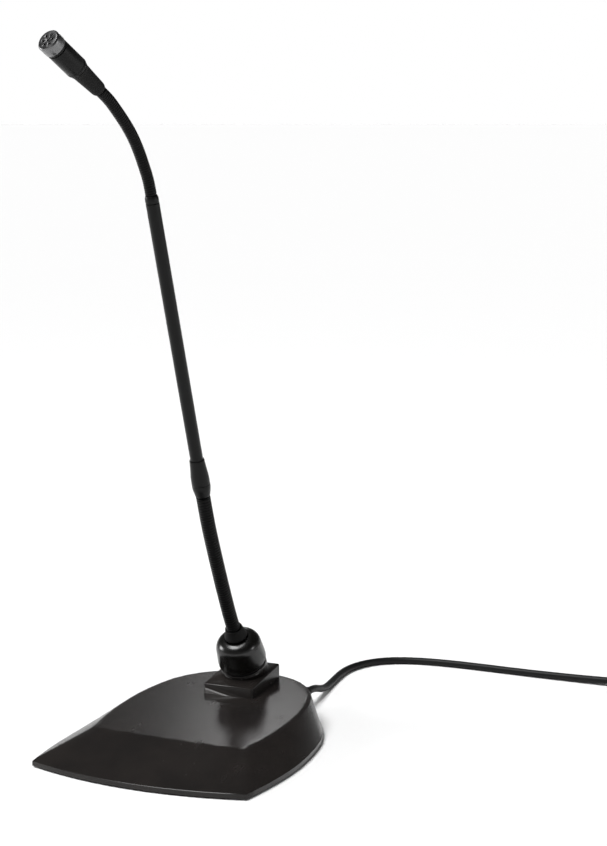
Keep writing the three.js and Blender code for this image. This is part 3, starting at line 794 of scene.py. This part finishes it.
class MIC_OT_stage(Operator):
    """Floor, soft lights and the camera"""

    bl_idname = "mic.stage"
    bl_label = "Stage"

    FLOOR_RADIUS = 90.0
    SUN_WIDTH = math.radians(34)
    SUN_TURN = Euler((math.radians(20), math.radians(-14), 0))
    # How bright the room glows from the horizon, at 0, towards straight up, at 1.
    GLOW = ((0.0, 1.0), (0.16, 0.5), (0.32, 0.2), (0.5, 0.05))
    # Name, place, target, diameter in metres and power in watts.
    SOFT_BOXES = (
        ("left light", (-1.5, -0.35, 0.55), (0, 0, 0.1), 0.5, 9),
        ("right light", (1.6, 0.1, 0.5), (0, 0, 0.08), 0.4, 3),
        ("rear light", (-0.68, 1.46, 0.86), (0, 0, 0.02), 0.26, 0.7),
    )

    def execute(self, context):
        sizes = context.scene.mic_stage
        self.floor()
        context.scene.world = self.studio(sizes.room_light)
        context.scene.view_settings.view_transform = "Standard"
        self.sun(sizes.overhead_light)
        for soft_box in self.SOFT_BOXES:
            self.soft_box(*soft_box)
        context.scene.camera = self.camera(sizes)
        return {"FINISHED"}

    def floor(self):
        bm = bmesh.new()
        bmesh.ops.create_circle(bm, cap_ends=True, segments=128, radius=self.FLOOR_RADIUS)
        mesh = as_mesh(bm, "floor")
        paper = Finish("Paper floor", (0.86, 0.86, 0.86), 1.0, specular=0.0)
        fibres = paper.noise(900, 4.0)
        paper.tint(fibres, 1.03)
        paper.relief(fibres, 0.02 * MM, 0.3)
        mesh.materials.append(paper.material)
        linked("floor", mesh)

    def studio(self, strength):
        """A white room to look at, and a dimmer one that lights and reflects."""
        world = bpy.data.worlds.new("Studio")
        world.use_nodes = True
        world.node_tree.nodes.remove(world.node_tree.nodes["Background"])
        room = Nodes(world.node_tree)
        way = room.node("ShaderNodeTexCoord", output="Generated")
        height = room.node("ShaderNodeSeparateXYZ", inputs={"Vector": way}, output="Z")
        glow = room.node("ShaderNodeValToRGB", {"stops": self.GLOW}, {"Fac": height})
        dim = room.node("ShaderNodeBackground", inputs={"Color": glow, "Strength": strength})
        white = room.node("ShaderNodeBackground", inputs={"Color": (1.0, 1.0, 1.0, 1.0)})
        looked_at = room.node("ShaderNodeLightPath", output="Is Camera Ray")
        both = room.node("ShaderNodeMixShader", inputs={0: looked_at, 1: dim, 2: white})
        room.tree.links.new(both.socket, room.tree.nodes["World Output"].inputs["Surface"])
        return world

    def sun(self, strength):
        light = bpy.data.lights.new("overhead light", "SUN")
        light.energy = strength
        light.angle = self.SUN_WIDTH
        linked("overhead light", light).rotation_euler = self.SUN_TURN

    @staticmethod
    def soft_box(name, place, target, size, power):
        light = bpy.data.lights.new(name, "AREA")
        light.shape = "DISK"
        light.size = size
        light.energy = power
        holder = linked(name, light)
        holder.location = place
        way = Vector(target) - Vector(place)
        holder.rotation_euler = way.to_track_quat("-Z", "Y").to_euler()

    @staticmethod
    def camera(sizes):
        camera = bpy.data.cameras.new("Camera")
        camera.lens = sizes.lens
        camera.sensor_width = 36.0
        camera.clip_start = 0.01
        camera.dof.use_dof = False
        holder = linked("Camera", camera)
        holder.location = sizes.camera_place
        holder.rotation_euler = Euler((math.pi / 2 - sizes.camera_dip, 0, sizes.camera_turn))
        return holder


class MIC_OT_lead(Operator):
    """Lead with its strain relief, coil, tie and connector"""

    bl_idname = "mic.lead"
    bl_label = "Lead"

    COIL_ROWS = 4
    # Share of a turn after which the cord moves over to the next one.
    CROSS_FROM = 0.86
    INTO_BOOT = 10 * MM
    # Points of the stretch that isn't coiled, in millimetres.
    ROUTE = [
        (29, 96, 10.5),
        (29, 101.3, 10.5),
        (29, 108, 10.1),
        (28.6, 116, 8.6),
        (27.8, 126, 5.6),
        (26.4, 138, 3.3),
        (24.6, 151, 2.65),
        (22.6, 166, 2.6),
        (21.4, 182, 2.6),
        (23.6, 198, 2.6),
        (31, 213, 2.6),
        (44, 224, 2.6),
        (62, 230.4, 2.6),
        (84, 233, 2.7),
        (108, 233.6, 2.7),
        (134, 233.4, 2.7),
        (160, 233.4, 2.9),
        (186, 233.8, 3.3),
        (212, 234.4, 3.9),
        (242.6, 235, 4.1),
    ]

    def execute(self, context):
        sizes = context.scene.mic_lead
        extras = [
            self.connector_boot(),
            self.connector_shell(),
            self.strain_relief(),
            rounded_copy("cable_tie", 0.3 * MM),
            rounded_copy("connector_insert", 0.3 * MM),
        ]
        for i in (1, 2, 3):
            extras.append(turned_piece(f"connector_pin_{i}", (0, -1, 0), 0.9 * MM, sides=24))
        route = self.on_the_desk() + self.coil(sizes)
        route += self.into_boot(route[-1])
        lead = self.jacket(route, sizes.diameter)
        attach(lead, "base")
        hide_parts("cable", "cable_coil")
        return {"FINISHED"}

    def on_the_desk(self):
        """Smooth points from inside the strain relief to where the coil begins."""
        points = [Vector(point) * MM for point in self.ROUTE]
        steps = 3
        fine = []
        for i in range(len(points) - 1):
            before = points[max(i - 1, 0)]
            a, b = points[i], points[i + 1]
            after = points[min(i + 2, len(points) - 1)]
            for step in range(steps):
                t = step / steps
                fine.append(
                    0.5
                    * (
                        2 * a
                        + (b - before) * t
                        + (2 * before - 5 * a + 4 * b - after) * t**2
                        + (3 * a - before - 3 * b + after) * t**3
                    )
                )
        return fine + [points[-1]]

    def turn_places(self, diameter):
        """(radius, level) of each turn: the lowest row inwards, then the columns outwards."""
        low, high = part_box("cable_coil")
        widest = (high[0] - low[0]) / 2 - diameter / 2
        radii = [widest - i * diameter for i in range(self.COIL_ROWS)]
        levels = [low[2] + diameter / 2 + i * diameter for i in range(self.COIL_ROWS)]
        places = [(radius, levels[0]) for radius in radii]
        for column, radius in enumerate(reversed(radii)):
            rising = column % 2 == 0
            places += [(radius, level) for level in (levels[1:] if rising else levels[:0:-1])]
        return places

    def coil(self, sizes):
        """The turns one after another, and a last quarter turn towards the connector."""
        low, high = (Vector(corner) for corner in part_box("cable_coil"))
        middle = (low + high) / 2
        places = self.turn_places(sizes.diameter)
        count = sizes.turn_points

        def on_turn(radius, level, share):
            angle = math.pi / 2 - math.tau * share
            return Vector(
                (middle.x + radius * math.cos(angle), middle.y + radius * math.sin(angle), level)
            )

        points = []
        for here, following in zip(places, places[1:]):
            for step in range(count):
                share = step / count
                t = max((share - self.CROSS_FROM) / (1 - self.CROSS_FROM), 0.0)
                over = t * t * (3 - 2 * t)
                radius, level = (a + (b - a) * over for a, b in zip(here, following))
                points.append(on_turn(radius, level, share))
        points += [on_turn(*places[-1], step / count) for step in range(count // 4 + 1)]
        return points

    def into_boot(self, end):
        """Points from the end of the coil to inside the connector's boot."""
        low, high = (Vector(corner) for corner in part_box("connector_boot"))
        last = Vector(((low.x + high.x) / 2, high.y - self.INTO_BOOT, (low.z + high.z) / 2))
        return [end.lerp(last, share) for share in (0.35, 0.7, 1.0)]

    @staticmethod
    def jacket(route, diameter):
        curve = bpy.data.curves.new("lead", "CURVE")
        curve.dimensions = "3D"
        curve.bevel_depth = diameter / 2
        curve.bevel_resolution = 5
        curve.use_fill_caps = True
        spline = curve.splines.new("POLY")
        spline.points.add(len(route) - 1)
        for point, place in zip(spline.points, route):
            point.co = (*place, 1.0)
        curve.materials.append(finish_of("cable_jacket"))
        return linked("lead", curve)

    @staticmethod
    def strain_relief():
        ribs = [(h * MM, 1.3 * MM, 0.45 * MM) for h in (13.8, 16.0, 18.2, 20.4, 22.6)]
        return turned_piece("cable_gland", (0, 1, 0), 0.35 * MM, ribs, 3.0 * MM, 64)

    @staticmethod
    def connector_boot():
        ribs = [(h * MM, 1.2 * MM, 0.5 * MM) for h in (2.5, 4.8, 7.1, 9.3)]
        return turned_piece("connector_boot", (0, -1, 0), 0.4 * MM, ribs, 4.0 * MM, 64)

    @staticmethod
    def connector_shell():
        rings = [(h * MM, 0.8 * MM, 0.25 * MM) for h in (5.0, 6.6, 24.0, 38.5)]
        return turned_piece("connector_shell", (0, -1, 0), 0.5 * MM, rings, 8.6 * MM)


class MIC_OT_base(Operator):
    """Moulded cover of the base"""

    bl_idname = "mic.base"
    bl_label = "Base cover"

    PLINTH_HALF_WIDTH = 18 * MM

    def execute(self, context):
        bm = flat_copy("base_housing")
        corners = [edge for edge in long_corners(bm, 60, 3 * MM) if self.on_plinth(edge)]
        round_off(bm, corners, 1.6 * MM, 4, clamp=False)
        cover = show(bm, "base_cover", "moulded_black", "base", ["base_housing"], 28)
        even = cover.modifiers.new("Even shading", "WEIGHTED_NORMAL")
        even.keep_sharp = True
        return {"FINISHED"}

    def on_plinth(self, edge):
        """Whether an edge is an upright outer corner of the plinth."""
        way = (edge.verts[0].co - edge.verts[1].co).normalized()
        middle = (edge.verts[0].co + edge.verts[1].co) / 2
        return abs(way.z) > 0.95 and abs(abs(middle.x) - self.PLINTH_HALF_WIDTH) < 0.5 * MM


class MIC_OT_underside(Operator):
    """Plate, pad, screws and weight under the cover"""

    bl_idname = "mic.underside"
    bl_label = "Underside"

    def execute(self, context):
        for node in ("base_plate", "desk_pad", "ballast_block"):
            rounded_copy(node, 0.35 * MM, 2)
        refinish(*(f"plate_screw_{i}" for i in (1, 2, 3, 4)))
        return {"FINISHED"}


class MIC_OT_electronics(Operator):
    """Board and its parts inside the base"""

    bl_idname = "mic.electronics"
    bl_label = "Electronics"

    def execute(self, context):
        rounded_copy("terminal_block", 0.4 * MM, 2)
        turned_piece("filter_can", UP, 0.5 * MM, sides=48)
        refinish(
            "circuit_board",
            "board_standoff_1",
            "board_standoff_2",
            "board_screw_1",
            "board_screw_2",
        )
        return {"FINISHED"}


class MIC_OT_socket(Operator):
    """Socket, turning collar and the cone where the neck enters"""

    bl_idname = "mic.socket"
    bl_label = "Socket and collar"

    def execute(self, context):
        turned_piece("lock_collar", UP, 2.2 * MM)
        turned_piece("collar_seal", UP, 0.3 * MM)
        turned_piece("socket_shell", UP, 0.3 * MM)
        turned_piece("neck_cone", UP, 0.5 * MM, sides=64)
        turned_piece("isolation_sleeve", UP, 0.3 * MM, sides=48)
        turned_piece("stem_foot", UP, 0.4 * MM, sides=48)
        return {"FINISHED"}


class MIC_OT_neck(Operator):
    """Flexible sections, ferrule, tube and adapter"""

    bl_idname = "mic.neck"
    bl_label = "Gooseneck"

    def execute(self, context):
        sizes = context.scene.mic_neck
        flexible_section(
            "lower_flex",
            nodes=[f"lower_flex_{i}" for i in (1, 2, 3)],
            joints=["lower_neck_tilt", "lower_neck_sway"],
            leading=None,
            following="lower_ferrule",
            groove=sizes.groove,
            pitch=sizes.lower_pitch,
            sides=sizes.sides,
        )
        flexible_section(
            "upper_flex",
            nodes=[f"upper_flex_{i}" for i in (1, 2, 3, 4)],
            joints=["upper_neck_tilt_low", "upper_neck_sway", "upper_neck_tilt_high"],
            leading="mid_tube",
            following="head_boot",
            groove=sizes.groove * 0.8,
            pitch=sizes.upper_pitch,
            sides=sizes.sides,
        )
        turned_piece(
            "lower_ferrule", UP, 1.6 * MM, [(9.0 * MM, 0.7 * MM, 0.2 * MM)], 5.5 * MM, 64
        )
        turned_piece("mid_tube", UP, 0.3 * MM, sides=64)
        turned_piece("upper_adapter", UP, 0.4 * MM, sides=64)
        refinish("inner_lead")
        return {"FINISHED"}


class MIC_OT_head(Operator):
    """Boot, barrel, ring, grille cap and capsule"""

    bl_idname = "mic.head"
    bl_label = "Head"

    def execute(self, context):
        turned_piece("head_boot", UP, 0.7 * MM, sides=64)
        turned_piece(
            "head_barrel", UP, 0.3 * MM, [(2.2 * MM, 0.6 * MM, 0.18 * MM)], 6.0 * MM, 72
        )
        turned_piece("trim_ring", UP, 0.2 * MM, sides=72)
        rounded_copy("grille_cap", 0.2 * MM, 2, shortest=0.5 * MM)
        turned_piece("capsule", UP, 0.3 * MM, sides=48)
        turned_piece("capsule_gasket", UP, 0.1 * MM, sides=48)
        refinish("foam_disc", "grille_mesh", "capsule_board")
        return {"FINISHED"}


OPERATORS = (
    MIC_OT_stage,
    MIC_OT_lead,
    MIC_OT_base,
    MIC_OT_underside,
    MIC_OT_electronics,
    MIC_OT_socket,
    MIC_OT_neck,
    MIC_OT_head,
)


class MIC_PT_panel(Panel):
    """Lists the sizes, colours and pieces of the microphone"""

    bl_idname = "MIC_PT_panel"
    bl_label = "Podium microphone"
    bl_space_type = "VIEW_3D"
    bl_region_type = "UI"
    bl_category = "Microphone"

    def draw(self, context):
        layout = self.layout
        for group in GROUPS:
            box = layout.box()
            owner = getattr(context.scene, group)
            for name in owner.__annotations__:
                box.prop(owner, name)
        for operator in OPERATORS:
            layout.operator(operator.bl_idname)


GROUPS = {
    "mic_finish": FinishColours,
    "mic_neck": NeckSizes,
    "mic_lead": LeadSizes,
    "mic_stage": StageSizes,
}
CLASSES = (*GROUPS.values(), *OPERATORS, MIC_PT_panel)


def register():
    for cls in CLASSES:
        bpy.utils.register_class(cls)
    for name, group in GROUPS.items():
        setattr(bpy.types.Scene, name, PointerProperty(type=group))


def unregister():
    for name in GROUPS:
        delattr(bpy.types.Scene, name)
    for cls in reversed(CLASSES):
        bpy.utils.unregister_class(cls)


def main():
    register()
    for operator in OPERATORS:
        group, name = operator.bl_idname.split(".")
        getattr(getattr(bpy.ops, group), name)()


if __name__ == "__main__":
    main()
